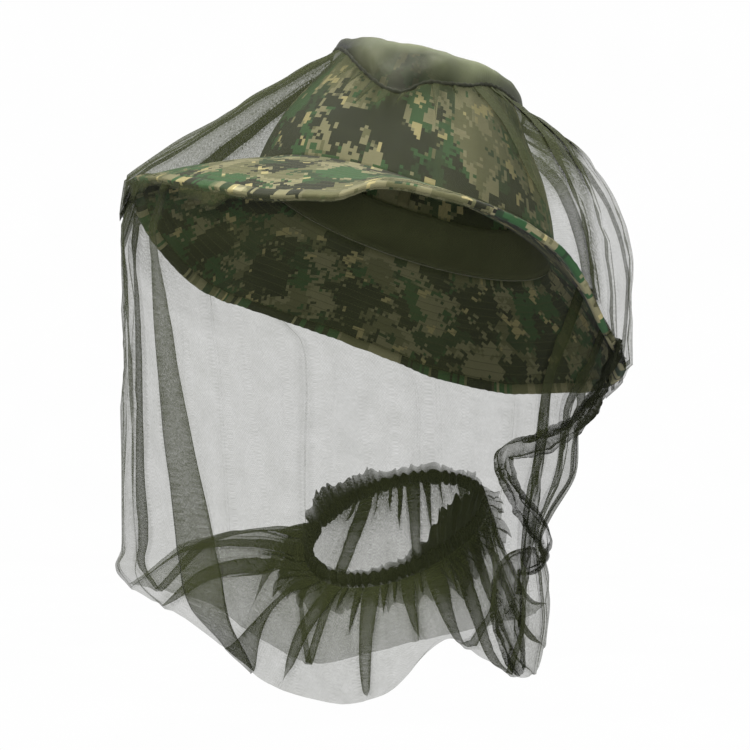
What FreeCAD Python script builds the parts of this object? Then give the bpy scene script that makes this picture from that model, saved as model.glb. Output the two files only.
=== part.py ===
"""A bee veil worn over a wide-brimmed soft hat: the hat, the net that hangs from it and the elastic neck collar.

Millimetres. +Z is up, -Y is the wearer's front and +X is the wearer's left. The origin is the centre of the
head opening. The hat sits tipped back and a little to the right, as it does on a head, and the net hangs plumb.
Every ring-shaped piece is a loft through thin upright sections, so a section is a path of (radius, height) points
in the half-plane at one bearing. Bearings run from the front (0) through the wearer's left (90) to the back (180).
"""

import FreeCAD
import Part

import os
from math import atan2, cos, degrees, pi, radians, sin, sqrt

# Hat: a soft cotton hat for a 58 cm head.
CROWN_HALF_WIDTH = 84.0
CROWN_HALF_LENGTH = 101.0
CROWN_HEIGHT = 92.0
CROWN_LEAN = 14.0  # the crown's top sits this far forward of its base
TOP_HALF_WIDTH = 52.0
TOP_HALF_LENGTH = 61.0
TOP_RISE = 5.0
TOP_GAP = 0.7
SHOULDER_POWER = 1.5
BRIM_WIDTH = 80.0
# How far the brim hangs down, in degrees, every 30 degrees round from the front by the wearer's left.
BRIM_DROOP = (29.0, 37.0, 45.0, 21.0, 16.0, 37.0, 39.0, 42.0, 48.0, 39.0, 43.0, 56.0)
ROOT_SHARE = 0.7  # the brim leaves the crown at this share of its droop
EDGE_SHARE = 1.3
ROOT_STEP_OUT = 1.2
ROOT_STEP_DOWN = 2.4
BRIM_STEPS = 24
TIP_BACK = 18.9
TIP_RIGHT = 13.5

CLOTH = 0.9
LAYER_GAP = 0.3
STIFFENER = 0.8
TAPE = 0.7
SWEATBAND_HEIGHT = 32.0
SEAM_TAPE_HEIGHT = 10.0
BINDING_GAP = 0.9
SIDE_TAPE_WIDTH = 9.0
BINDING_STEPS = 2  # how many of the brim's steps the edge binding reaches in over
JOIN_GAP = 0.15  # half of the gap where a band's two ends meet

# Veil.
NET = 0.8
PANEL_MARGIN = 5.0  # how far the oval top panel reaches past the crown's top edge
PANEL_RISE = 10.0
PANEL_LIFT = 1.2
SEAM_BINDING_HEIGHT = 5.0
NET_CLEARANCE = 3.0
NET_AXIS_Y = -5.0
BACK_BILLOW = 15.0  # how far the net stands out behind the crown
SEAM_STRIP = 12.0
FULL_HEIGHT = -211.0  # where the skirt ends and the pouch begins
FULL_FRONT = 176.0
FULL_BACK = 101.0
FULL_SIDE = 138.0
POUCH_LOW_FRONT = -268.0
POUCH_LOW_SIDE = -297.0
POUCH_LOW_BACK = -286.0
POUCH_THROAT = 26.0  # from the collar's frill to the inner wall of the pouch

# Neck collar.
COLLAR_RADIUS = 60.0
COLLAR_CENTRE = (0.0, -4.0, -199.0)
COLLAR_TILT = 30.0
COLLAR_LOW_BEARING = 67.0
ELASTIC_WIDTH = 7.0
ELASTIC_THICK = 1.0
CASING_CLOTH = 0.6
FRILL_WIDTH = 17.0
FRILL_FLARE = 40.0
FRILL_WAVES = 22
FRILL_WAVE_HEIGHT = 1.6

SECTIONS_PER_TURN = 40
FULL_TURN = (180.1, 539.9)  # a band's ends meet at the back
OUT = "parts"

UP = FreeCAD.Vector(0, 0, 1)


# ---- Small geometry helpers ----


def oval_radius(bearing, half_width, half_length):
    """The radius of an oval at a bearing."""
    return 1.0 / sqrt((sin(bearing) / half_width) ** 2 + (cos(bearing) / half_length) ** 2)


def spot(bearing, radius, height, axis_y=0.0):
    """A point at a bearing, a radius and a height about an upright axis."""
    return FreeCAD.Vector(radius * sin(bearing), axis_y - radius * cos(bearing), height)


def round_mix(values, bearing):
    """Values given at even bearings, blended smoothly round the turn."""
    share = (bearing / (2 * pi)) % 1.0 * len(values)
    first = int(share)
    part = share - first
    part = part * part * (3 - 2 * part)
    low = values[first % len(values)]
    high = values[(first + 1) % len(values)]
    return low + (high - low) * part


def knots_along(path):
    """A knot for each point of a (radius, height) path, from 0 to 1, spaced so that the curve makes no loop."""
    steps = [((b[0] - a[0]) ** 2 + (b[1] - a[1]) ** 2) ** 0.25 for a, b in zip(path, path[1:])]
    return [sum(steps[:i]) / sum(steps) for i in range(len(path))]


def spline(points, knots):
    """One edge through the points; neighbouring sections share their knots, so that they match."""
    if len(points) == 2:
        return Part.LineSegment(points[0], points[1]).toShape()
    curve = Part.BSplineCurve()
    curve.interpolate(Points=points, Parameters=knots)
    return curve.toShape()


def shifted(path, distance):
    """A (radius, height) path moved sideways, to its left as it is walked."""
    moved = []
    for i, (r, z) in enumerate(path):
        r0, z0 = path[max(i - 1, 0)]
        r1, z1 = path[min(i + 1, len(path) - 1)]
        length = sqrt((r1 - r0) ** 2 + (z1 - z0) ** 2)
        moved.append((r - (z1 - z0) / length * distance, z + (r1 - r0) / length * distance))
    return moved


def strip_wire(path, thickness, bearing, axis_y, knots):
    """The closed outline of a thin strip that follows the path."""
    near = [spot(bearing, r, z, axis_y) for r, z in path]
    far = [spot(bearing, r, z, axis_y) for r, z in shifted(path, thickness)]
    edges = [
        spline(near, knots),
        Part.LineSegment(near[-1], far[-1]).toShape(),
        spline(far[::-1], [1 - knot for knot in knots[::-1]]),
        Part.LineSegment(far[0], near[0]).toShape(),
    ]
    return Part.Wire(edges)


def strip_ring(path_at, thickness, start, end, axis_y=0.0, sections=None):
    """A thin strip swept from one bearing to another, both in degrees."""
    spans = sections or max(4, round((end - start) / 360.0 * SECTIONS_PER_TURN))
    bearings = [radians(start + (end - start) * i / spans) for i in range(spans + 1)]
    shares = [knots_along(path_at(bearing)) for bearing in bearings]
    knots = [sum(column) / len(column) for column in zip(*shares)]
    wires = [strip_wire(path_at(bearing), thickness, bearing, axis_y, knots) for bearing in bearings]
    return Part.makeLoft(wires, True, False)


def polygon_ring(outline_at, start, end):
    """A closed straight-sided outline swept from one bearing to another, both in degrees."""
    wires = []
    for i in range(SECTIONS_PER_TURN + 1):
        bearing = radians(start + (end - start) * i / SECTIONS_PER_TURN)
        corners = [spot(bearing, r, z) for r, z in outline_at(bearing)]
        wires.append(Part.makePolygon(corners + corners[:1]))
    return Part.makeLoft(wires, True, False)


# ---- The hat, level, before it is tipped ----


def crown_radius(bearing, share):
    """The crown's outer radius at a share of its height."""
    narrowing = share**SHOULDER_POWER
    half_width = CROWN_HALF_WIDTH + (TOP_HALF_WIDTH - CROWN_HALF_WIDTH) * narrowing
    half_length = CROWN_HALF_LENGTH + (TOP_HALF_LENGTH - CROWN_HALF_LENGTH) * narrowing
    return oval_radius(bearing, half_width, half_length)


def crown_path(low, high, inset):
    """The crown's wall between two heights, as a function of the bearing."""

    def path(bearing):
        points = []
        for i in range(5):
            height = low + (high - low) * i / 4
            points.append((crown_radius(bearing, height / CROWN_HEIGHT) - inset, height))
        return points

    return path


def brim_line(bearing, reach=BRIM_WIDTH):
    """The middle of the brim from its root outwards: it bends down as it goes out."""
    droop = radians(round_mix(BRIM_DROOP, bearing))
    r = oval_radius(bearing, CROWN_HALF_WIDTH, CROWN_HALF_LENGTH) + ROOT_STEP_OUT
    z = -ROOT_STEP_DOWN
    line = [(r, z)]
    for i in range(BRIM_STEPS):
        share = (i + 0.5) / BRIM_STEPS * reach / BRIM_WIDTH
        angle = droop * (ROOT_SHARE + (EDGE_SHARE - ROOT_SHARE) * share)
        r += cos(angle) * reach / BRIM_STEPS
        z -= sin(angle) * reach / BRIM_STEPS
        line.append((r, z))
    return line


def brim_path(offset, trim):
    """One layer of the brim, that far above the middle."""

    def path(bearing):
        return shifted(brim_line(bearing, BRIM_WIDTH - trim), offset)[:: BRIM_STEPS // 4]

    return path


def binding_outline(bearing):
    """A tape folded over the brim's edge: a U laid on its side."""
    line = brim_line(bearing)[-BINDING_STEPS - 1 :]
    (r0, z0), (r1, z1) = line[-2:]
    length = sqrt((r1 - r0) ** 2 + (z1 - z0) ** 2)
    out = ((r1 - r0) / length, (z1 - z0) / length)
    inner = STIFFENER / 2 + LAYER_GAP + CLOTH + BINDING_GAP
    outer = inner + TAPE
    within = [(r + out[0] * LAYER_GAP, z + out[1] * LAYER_GAP) for r, z in line[-1:]]
    beyond = [(r + out[0] * TAPE, z + out[1] * TAPE) for r, z in within]
    return (
        shifted(line[:-1] + within, inner)
        + shifted(line[:-1] + within, -inner)[::-1]
        + shifted(line[:-1] + beyond, -outer)
        + shifted(line[:-1] + beyond, outer)[::-1]
    )


def dome(half_width, half_length, rise, thickness, base):
    """An oval cap of cloth, a little domed."""
    radius = (half_length**2 + rise**2) / (2 * rise)
    centre = FreeCAD.Vector(0, 0, base + rise - radius)
    outer = Part.makeSphere(radius + thickness, centre)
    inner = Part.makeSphere(radius, centre)
    column = Part.makeCylinder(half_length, rise + 2 * thickness + 1, FreeCAD.Vector(0, 0, base))
    cap = outer.cut(inner).common(column)
    squeeze = FreeCAD.Matrix()
    squeeze.A11 = half_width / half_length
    return cap.transformGeometry(squeeze).Solids[0]


def crown_pieces():
    """The crown's pieces, by name, in the level hat's own frame."""
    side = degrees(JOIN_GAP / CROWN_HALF_WIDTH)
    half_tape = degrees(SIDE_TAPE_WIDTH / 2 / CROWN_HALF_WIDTH)
    inside = CLOTH + LAYER_GAP
    tape_low, tape_high = CROWN_HEIGHT - SEAM_TAPE_HEIGHT - 1.0, CROWN_HEIGHT - 1.0
    wall = crown_path(0.0, CROWN_HEIGHT, CLOTH)
    sweatband = crown_path(0.5, SWEATBAND_HEIGHT, inside + CLOTH)
    seam_tape = crown_path(tape_low, tape_high, inside + TAPE)
    side_tape = crown_path(SWEATBAND_HEIGHT + 1.0, tape_low - 1.0, inside + TAPE)
    return {
        "hat_crown_side_front": strip_ring(wall, -CLOTH, -90 + side, 90 - side),
        "hat_crown_side_back": strip_ring(wall, -CLOTH, 90 + side, 270 - side),
        "hat_crown_top": dome(TOP_HALF_WIDTH, TOP_HALF_LENGTH, TOP_RISE, CLOTH, CROWN_HEIGHT + TOP_GAP),
        "hat_crown_seam_tape": strip_ring(seam_tape, -TAPE, *FULL_TURN),
        "hat_side_seam_tape_left": strip_ring(side_tape, -TAPE, 90 - half_tape, 90 + half_tape),
        "hat_side_seam_tape_right": strip_ring(side_tape, -TAPE, 270 - half_tape, 270 + half_tape),
        "hat_sweatband": strip_ring(sweatband, -CLOTH, *FULL_TURN),
    }


def brim_pieces():
    """The brim's pieces, by name, in the level hat's own frame."""
    layer = STIFFENER / 2 + LAYER_GAP
    return {
        "hat_brim_upper": strip_ring(brim_path(layer, 1.0), CLOTH, *FULL_TURN),
        "hat_brim_stiffener": strip_ring(brim_path(-STIFFENER / 2, 2.5), STIFFENER, *FULL_TURN),
        "hat_brim_lower": strip_ring(brim_path(-layer, 1.0), -CLOTH, *FULL_TURN),
        "hat_brim_edge_binding": polygon_ring(binding_outline, *FULL_TURN),
    }


def crown_lean():
    """The crown leans forward as it rises."""
    matrix = FreeCAD.Matrix()
    matrix.A23 = -CROWN_LEAN / CROWN_HEIGHT
    return matrix


def hat_placement():
    back = FreeCAD.Rotation(FreeCAD.Vector(1, 0, 0), -TIP_BACK)
    right = FreeCAD.Rotation(FreeCAD.Vector(0, 1, 0), -TIP_RIGHT)
    return FreeCAD.Placement(FreeCAD.Vector(), back.multiply(right))


def crown_spot(bearing, radius, height):
    """A point of the crown, where it is once the hat is leaned and tipped."""
    return hat_placement().multVec(crown_lean().multVec(spot(bearing, radius, height)))


def brim_spot(bearing, radius, height):
    return hat_placement().multVec(spot(bearing, radius, height))


# ---- The veil ----


def around(points):
    """A closed loop of points as a function: bearing about the net's axis to (radius, height)."""
    turned = []
    for p in points:
        y = p.y - NET_AXIS_Y
        turned.append((atan2(p.x, -y) % (2 * pi), sqrt(p.x**2 + y**2), p.z))
    turned.sort()
    first, last = turned[0], turned[-1]
    turned = [(last[0] - 2 * pi, last[1], last[2])] + turned + [(first[0] + 2 * pi, first[1], first[2])]

    def at(bearing):
        bearing %= 2 * pi
        for (b0, r0, z0), (b1, r1, z1) in zip(turned, turned[1:]):
            if b0 <= bearing <= b1:
                share = (bearing - b0) / (b1 - b0)
                return r0 + (r1 - r0) * share, z0 + (z1 - z0) * share

    return at


def loop_of(make_point):
    """A loop given by a function of the bearing, sampled finely."""
    return around([make_point(radians(step)) for step in range(0, 360, 2)])


def brim_edge_point(bearing):
    r, z = shifted(brim_line(bearing), NET_CLEARANCE + STIFFENER)[-1]
    return brim_spot(bearing, r + NET_CLEARANCE, z)


def panel_edge(bearing):
    """The top panel's edge in the level hat."""
    r = oval_radius(bearing, TOP_HALF_WIDTH + PANEL_MARGIN, TOP_HALF_LENGTH + PANEL_MARGIN)
    return r, CROWN_HEIGHT + PANEL_LIFT


def crown_seam_point(bearing):
    """Where the net leaves the top panel."""
    r, z = panel_edge(bearing)
    return crown_spot(bearing, r + 1.0, z - SEAM_BINDING_HEIGHT - 1.5)


def full_radius(bearing):
    """The veil's radius where it is fullest, about its own upright axis."""
    length = FULL_FRONT if cos(bearing) > 0 else FULL_BACK
    return oval_radius(bearing, FULL_SIDE, length)


def pouch_low(bearing):
    return round_mix((POUCH_LOW_FRONT, POUCH_LOW_SIDE, POUCH_LOW_BACK, POUCH_LOW_SIDE), bearing)


def collar_placement():
    lean = radians(COLLAR_LOW_BEARING)
    hinge = FreeCAD.Vector(cos(lean), sin(lean), 0)
    return FreeCAD.Placement(FreeCAD.Vector(*COLLAR_CENTRE), FreeCAD.Rotation(hinge, COLLAR_TILT))


def frill_edge_point(extra):
    def point(bearing):
        flare = radians(FRILL_FLARE)
        r = COLLAR_RADIUS + 4 + FRILL_WIDTH * cos(flare) + extra
        z = -FRILL_WIDTH * sin(flare) - ELASTIC_WIDTH / 2
        return collar_placement().multVec(spot(bearing, r, z))

    return point


def net_paths():
    """The net's three stretches, as functions of the bearing: crown to brim, brim to full, and round to the collar."""
    crown_seam = loop_of(crown_seam_point)
    brim_edge = loop_of(brim_edge_point)
    frill_edge = loop_of(frill_edge_point(1.5))

    def upper(bearing):
        (r0, z0), (r1, z1) = crown_seam(bearing), brim_edge(bearing)
        billow = 1.0 + BACK_BILLOW * max(0.0, -cos(bearing)) ** 2
        middle = ((r0 + r1) / 2 + billow, (z0 + z1) / 2 + billow)
        return [(r0, z0), middle, (r1, z1)]

    def skirt(bearing):
        (r0, z0) = brim_edge(bearing)
        r1 = full_radius(bearing)
        z0 -= 1.0
        fall = FULL_HEIGHT - z0
        behind = (1 - cos(bearing)) / 2
        return [
            (r0, z0),
            (r0 - 2.0 * behind, z0 + fall * 0.07),
            (r0 + (r1 - r0) * (0.3 + 0.45 * behind), z0 + fall * 0.33),
            (r0 + (r1 - r0) * (0.75 + 0.2 * behind), z0 + fall * 0.67),
            (r1, FULL_HEIGHT),
        ]

    def pouch(bearing):
        r1 = full_radius(bearing)
        low = pouch_low(bearing)
        r3, z3 = frill_edge(bearing)
        throat = r3 + POUCH_THROAT * 0.6
        bottom = throat + (r1 - throat) * 0.42
        return [
            (r1, FULL_HEIGHT - 1.0),
            (r1 - (r1 - bottom) * 0.2, FULL_HEIGHT + (low - FULL_HEIGHT) * 0.62),
            (bottom, low),
            (throat, (low * 1.4 + z3) / 2.4),
            (r3, z3),
        ]

    return upper, skirt, pouch


def seam_strip(path_at, bearing):
    """The turned-in seam allowance inside the net, along one stretch of it."""
    width = degrees(SEAM_STRIP / 2 / FULL_SIDE)

    def path(at):
        return shifted(path_at(at)[2:], -2.2)

    return strip_ring(path, -NET, bearing - width, bearing + width, NET_AXIS_Y)


def seam_binding_path(bearing):
    r, z = panel_edge(bearing)
    return [(r + 0.6, z - 0.5), (r + 0.6, z - 0.5 - SEAM_BINDING_HEIGHT)]


def veil_pieces():
    """The veil's pieces, by name, in the finished frame."""
    upper, skirt, pouch = net_paths()
    half_gap = degrees(JOIN_GAP * 2 / FULL_SIDE)
    halves = {"front": (-90 + half_gap, 90 - half_gap), "back": (90 + half_gap, 270 - half_gap)}
    pieces = {}
    for half, (start, end) in halves.items():
        for stretch, path in (("upper", upper), ("skirt", skirt), ("pouch", pouch)):
            name = f"veil_net_{half}_{stretch}"
            pieces[name] = strip_ring(path, NET, start, end, NET_AXIS_Y)
    for side, bearing in (("left", 90.0), ("right", 270.0)):
        pieces[f"veil_side_seam_{side}"] = seam_strip(skirt, bearing)
    half_width, half_length = TOP_HALF_WIDTH + PANEL_MARGIN, TOP_HALF_LENGTH + PANEL_MARGIN
    panel = dome(half_width, half_length, PANEL_RISE, NET, CROWN_HEIGHT + PANEL_LIFT)
    pieces["veil_crown_panel"] = on_crown(panel)
    pieces["veil_crown_seam_binding"] = on_crown(strip_ring(seam_binding_path, TAPE, *FULL_TURN))
    return pieces


# ---- The neck collar, level, before it is tipped ----


def turned(outline):
    """A straight-sided outline of (radius, height) points turned about the collar's axis."""
    corners = [FreeCAD.Vector(r, 0, z) for r, z in outline]
    face = Part.Face(Part.makePolygon(corners + corners[:1]))
    return face.revolve(FreeCAD.Vector(), UP, 360).Solids[0]


def frill_path(bearing):
    flare = radians(FRILL_FLARE)
    wave = sin(bearing * FRILL_WAVES) * FRILL_WAVE_HEIGHT
    points = []
    for share in (0.0, 0.35, 0.7, 1.0):
        r = COLLAR_RADIUS + 4 + FRILL_WIDTH * cos(flare) * share
        z = -ELASTIC_WIDTH / 2 - FRILL_WIDTH * sin(flare) * share + wave * share
        points.append((r, z))
    return points


def collar_pieces():
    """The collar's pieces, by name, in the level collar's own frame."""
    half = ELASTIC_WIDTH / 2
    inside = COLLAR_RADIUS + CASING_CLOTH + LAYER_GAP
    outside = inside + ELASTIC_THICK + LAYER_GAP
    elastic = ((inside, -half), (inside + ELASTIC_THICK, -half), (inside + ELASTIC_THICK, half), (inside, half))
    casing = (
        (COLLAR_RADIUS, -half - 1.5),
        (COLLAR_RADIUS + CASING_CLOTH, -half - 1.5),
        (COLLAR_RADIUS + CASING_CLOTH, half + LAYER_GAP),
        (outside, half + LAYER_GAP),
        (outside, -half - 1.5),
        (outside + CASING_CLOTH, -half - 1.5),
        (outside + CASING_CLOTH, half + LAYER_GAP + CASING_CLOTH),
        (COLLAR_RADIUS, half + LAYER_GAP + CASING_CLOTH),
    )
    heading_low = half + LAYER_GAP * 2 + CASING_CLOTH
    heading = (
        (COLLAR_RADIUS + 0.4, heading_low),
        (COLLAR_RADIUS + 1.6, heading_low),
        (COLLAR_RADIUS + 3.4, heading_low + 7.0),
        (COLLAR_RADIUS + 2.2, heading_low + 7.0),
    )
    return {
        "neck_elastic": turned(elastic),
        "collar_casing": turned(casing),
        "collar_heading_frill": turned(heading),
        "collar_skirt_frill": strip_ring(frill_path, -1.2, *FULL_TURN, sections=FRILL_WAVES * 6),
    }


# ---- Writing ----


def placed(shape, placement):
    copy = shape.copy()
    copy.transformShape(placement.toMatrix())
    return copy


def on_crown(shape):
    return placed(shape.transformGeometry(crown_lean()), hat_placement())


def all_pieces():
    pieces = {name: on_crown(solid) for name, solid in crown_pieces().items()}
    pieces.update({name: placed(solid, hat_placement()) for name, solid in brim_pieces().items()})
    pieces.update(veil_pieces())
    pieces.update({name: placed(solid, collar_placement()) for name, solid in collar_pieces().items()})
    return pieces


def main():
    os.makedirs(OUT, exist_ok=True)
    for name, solid in all_pieces().items():
        if not solid.isValid() or solid.Volume <= 0:
            print("bad solid", name, solid.isValid(), solid.Volume)
        solid.exportStep(os.path.join(OUT, name + ".step"))
        print(f"{name}: {solid.Volume / 1000:.2f} cm3, {len(solid.Solids)} solid")


main()
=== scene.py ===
from math import pi, radians

import bmesh
import bpy
import numpy as np
from mathutils import Matrix, Vector, noise
from numpy import cos, linspace, sin


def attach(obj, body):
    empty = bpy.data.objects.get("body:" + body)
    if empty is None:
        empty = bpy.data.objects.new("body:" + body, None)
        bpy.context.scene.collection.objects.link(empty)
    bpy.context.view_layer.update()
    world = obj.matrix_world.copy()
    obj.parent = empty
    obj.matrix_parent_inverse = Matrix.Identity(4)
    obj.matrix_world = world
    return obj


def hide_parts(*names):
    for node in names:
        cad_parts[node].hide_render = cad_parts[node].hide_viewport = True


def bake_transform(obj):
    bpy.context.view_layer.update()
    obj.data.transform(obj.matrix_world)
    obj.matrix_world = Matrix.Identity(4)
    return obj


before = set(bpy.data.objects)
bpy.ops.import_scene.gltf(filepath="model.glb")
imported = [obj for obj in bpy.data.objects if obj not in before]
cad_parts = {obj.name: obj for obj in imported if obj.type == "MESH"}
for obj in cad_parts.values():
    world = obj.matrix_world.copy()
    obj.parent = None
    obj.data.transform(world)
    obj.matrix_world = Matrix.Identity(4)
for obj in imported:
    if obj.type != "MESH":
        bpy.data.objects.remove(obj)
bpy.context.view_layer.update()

# Every length is in metres, in the CAD's frame. A bearing is 0 at the wearer's front, a quarter turn at the wearer's
# left and a half turn at the back. The tables below give bearings in degrees.

rng = np.random.default_rng(7)
scene = bpy.context.scene


def place(name, data):
    """A new object in the scene."""
    obj = bpy.data.objects.new(name, data)
    scene.collection.objects.link(obj)
    return obj


def aim(obj, at, target):
    """Puts a light or camera at a point, looking at a target."""
    obj.location = at
    obj.rotation_euler = (Vector(target) - Vector(at)).to_track_quat("-Z", "Y").to_euler()


# ---- hat: the same shape as the CAD's

CROWN = (0.084, 0.101)
TOP = (0.052, 0.061)
CROWN_HEIGHT = 0.092
CROWN_LEAN = 0.014
TOP_RISE = 0.005
BRIM_WIDTH = 0.080
CROWN_GIRTH = 0.082  # metres of cloth per radian round the crown
BRIM_GIRTH = 0.17
# how far the brim droops, in degrees
BRIM_DROOP = ((0, 29), (30, 37), (52, 41), (66, 38), (75, 34), (83, 24), (92, 20), (120, 18), (150, 37), (180, 39),
              (210, 42), (240, 48), (270, 39), (300, 43), (330, 56))
CLOTH = 0.0009
TAPE_CLOTH = 0.0007
TIP_BACK = 18.9
TIP_RIGHT = 13.5

HAT = np.array(Matrix.Rotation(radians(-TIP_BACK), 3, "X") @ Matrix.Rotation(radians(-TIP_RIGHT), 3, "Y"))


def oval(bearing, half_width, half_length):
    """An ellipse's radius at a bearing."""
    return 1 / np.sqrt((sin(bearing) / half_width) ** 2 + (cos(bearing) / half_length) ** 2)


def spots(bearing, radius, height, axis_y=0.0):
    """Points round an upright axis."""
    bearing, radius, height = np.broadcast_arrays(bearing, radius, height)
    return np.stack([radius * sin(bearing), axis_y - radius * cos(bearing), height], -1)


def unit(value):
    """Keeps a value between 0 and 1."""
    return np.clip(value, 0, 1)


def near(value, middle, width):
    """1 at the middle, falling to 0 about two widths away."""
    return np.exp(-(((value - middle) / width) ** 2))


def read(table, at):
    """A table of (place, value), read between its rows."""
    return np.interp(at, [place for place, _ in table], [value for _, value in table])


def hermite(t, start, leaving, end, arriving):
    """A smooth curve from start to end at share t, with its slopes at both."""
    return (
        (2 * t**3 - 3 * t**2 + 1) * start + (t**3 - 2 * t**2 + t) * leaving
        + (-2 * t**3 + 3 * t**2) * end + (t**3 - t**2) * arriving
    )


def stations(table, bearing):
    """A smooth closed curve through (degrees, value) stations."""
    at = np.radians([a for a, _ in table])
    x = np.concatenate([at - 2 * pi, at, at + 2 * pi])
    y = np.tile(np.array([v for _, v in table], float), 3)
    bearing = bearing % (2 * pi)
    i = np.clip(np.searchsorted(x, bearing, side="right") - 1, 1, len(x) - 3)
    step = x[i + 1] - x[i]
    leaving = (y[i + 1] - y[i - 1]) / (x[i + 1] - x[i - 1]) * step
    arriving = (y[i + 2] - y[i]) / (x[i + 2] - x[i]) * step
    return hermite((bearing - x[i]) / step, y[i], leaving, y[i + 1], arriving)


def on_brim(bearing, radius, height):
    """Points of the level hat, put where the hat is worn."""
    return spots(bearing, radius, height) @ HAT.T


def on_crown(bearing, radius, height):
    """The same for the crown, which leans forward on the brim."""
    points = spots(bearing, radius, height)
    points[..., 1] -= CROWN_LEAN / CROWN_HEIGHT * points[..., 2]
    return points @ HAT.T


def crown_radius(bearing, share):
    """The crown's radius at a share of its height."""
    narrowing = np.clip(share, 0, 1.2) ** 1.5
    return oval(bearing, *(low + (top - low) * narrowing for low, top in zip(CROWN, TOP)))


def brim_points(bearing, reach, offset=0.0):
    """Radius and height of the level brim at a reach from the crown, offset from its middle cloth."""
    droop = np.radians(stations(BRIM_DROOP, bearing))
    r = oval(bearing, *CROWN) + 0.0012
    z = -0.0024 + 0 * r
    steps = 16
    for i in range(steps):
        angle = droop * (0.7 + 0.6 * (i + 0.5) / steps * reach / BRIM_WIDTH)
        r = r + cos(angle) * reach / steps
        z = z - sin(angle) * reach / steps
    angle = droop * (0.7 + 0.6 * reach / BRIM_WIDTH)
    return r + sin(angle) * offset, z + cos(angle) * offset


# ---- meshes from grids


def grid(name, points, close_u=True, close_v=False, **attributes):
    """A mesh from points [row, column, 3]. Attributes are numbers, cloth points, or a pair (u, v) for them."""
    nv, nu = points.shape[:2]
    rows = np.arange(nv if close_v else nv - 1)
    cols = np.arange(nu if close_u else nu - 1)
    a, b = np.meshgrid(rows, cols, indexing="ij")
    a2, b2 = (a + 1) % nv, (b + 1) % nu
    faces = np.stack([a * nu + b, a * nu + b2, a2 * nu + b2, a2 * nu + b], -1).reshape(-1, 4)
    mesh = bpy.data.meshes.new(name)
    mesh.from_pydata(points.reshape(-1, 3).tolist(), [], faces.tolist())
    mesh.shade_smooth()
    for key, value in attributes.items():
        value = cut_points(*value) if isinstance(value, tuple) else value
        kind, field = ("FLOAT_VECTOR", "vector") if value.ndim == 3 else ("FLOAT", "value")
        layer = mesh.attributes.new(key, kind, "POINT")
        layer.data.foreach_set(field, value.reshape(-1).astype(np.float32))
    return place(name, mesh)


def direction(vectors):
    return vectors / np.linalg.norm(vectors, axis=-1, keepdims=True)


def spread(turn, rows):
    """Bearings and row values for every point of a grid."""
    return turn[None, :] + 0 * rows[:, None], rows[:, None] + 0 * turn[None, :]


def cut_points(u, v):
    """Where each point lies on the flat cloth, for weave and print."""
    u, v = np.broadcast_arrays(u, v)
    return np.stack([u, v, 0 * u], -1)


def wobble(points, size, seed, octaves=2):
    """A smooth random number for each point, about -1 to 1."""
    flat = points.reshape(-1, 3) / size + seed * 11.3
    values = [noise.fractal(Vector(p), 1.0, 2.0, octaves) for p in flat]
    return np.array(values).reshape(points.shape[:-1])


def normals_of(points):
    """Unit normals of a grid that closes round."""
    around = np.roll(points, -1, 1) - np.roll(points, 1, 1)
    n = np.cross(around, np.gradient(points, axis=0))
    return n / (np.linalg.norm(n, axis=-1, keepdims=True) + 1e-12)


def apply_modifiers(obj):
    graph = bpy.context.evaluated_depsgraph_get()
    mesh = bpy.data.meshes.new_from_object(obj.evaluated_get(graph), depsgraph=graph)
    obj.modifiers.clear()
    obj.data = mesh


def cap_middle(obj, columns):
    """Closes the small hole in the middle of an oval piece."""
    b = bmesh.new()
    b.from_mesh(obj.data)
    b.verts.ensure_lookup_table()
    b.faces.new([b.verts[i] for i in range(columns)][::-1])
    b.to_mesh(obj.data)
    b.free()


def paint(obj, material):
    obj.data.materials.clear()
    obj.data.materials.append(material)
    return obj


def piece(name, points, material, slot, *nodes, body="hat", cap=False, thickness=0.0, offset=-1.0, **grid_values):
    """A piece that rides on one body in place of its CAD nodes."""
    obj = grid(name, points, **grid_values)
    if cap:
        cap_middle(obj, points.shape[1])
    if thickness:
        solid = obj.modifiers.new("thickness", "SOLIDIFY")
        solid.thickness, solid.offset = thickness, offset
        apply_modifiers(obj)
    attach(paint(obj, material), body)
    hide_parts(*nodes)
    return obj


# ---- materials

PRINT_CELL = 0.0023
STITCH_ROWS = 0.0058
STITCH_LENGTH = 0.0032
COTTON_PITCH = 0.0009
NET_PITCH = 0.0017


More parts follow.
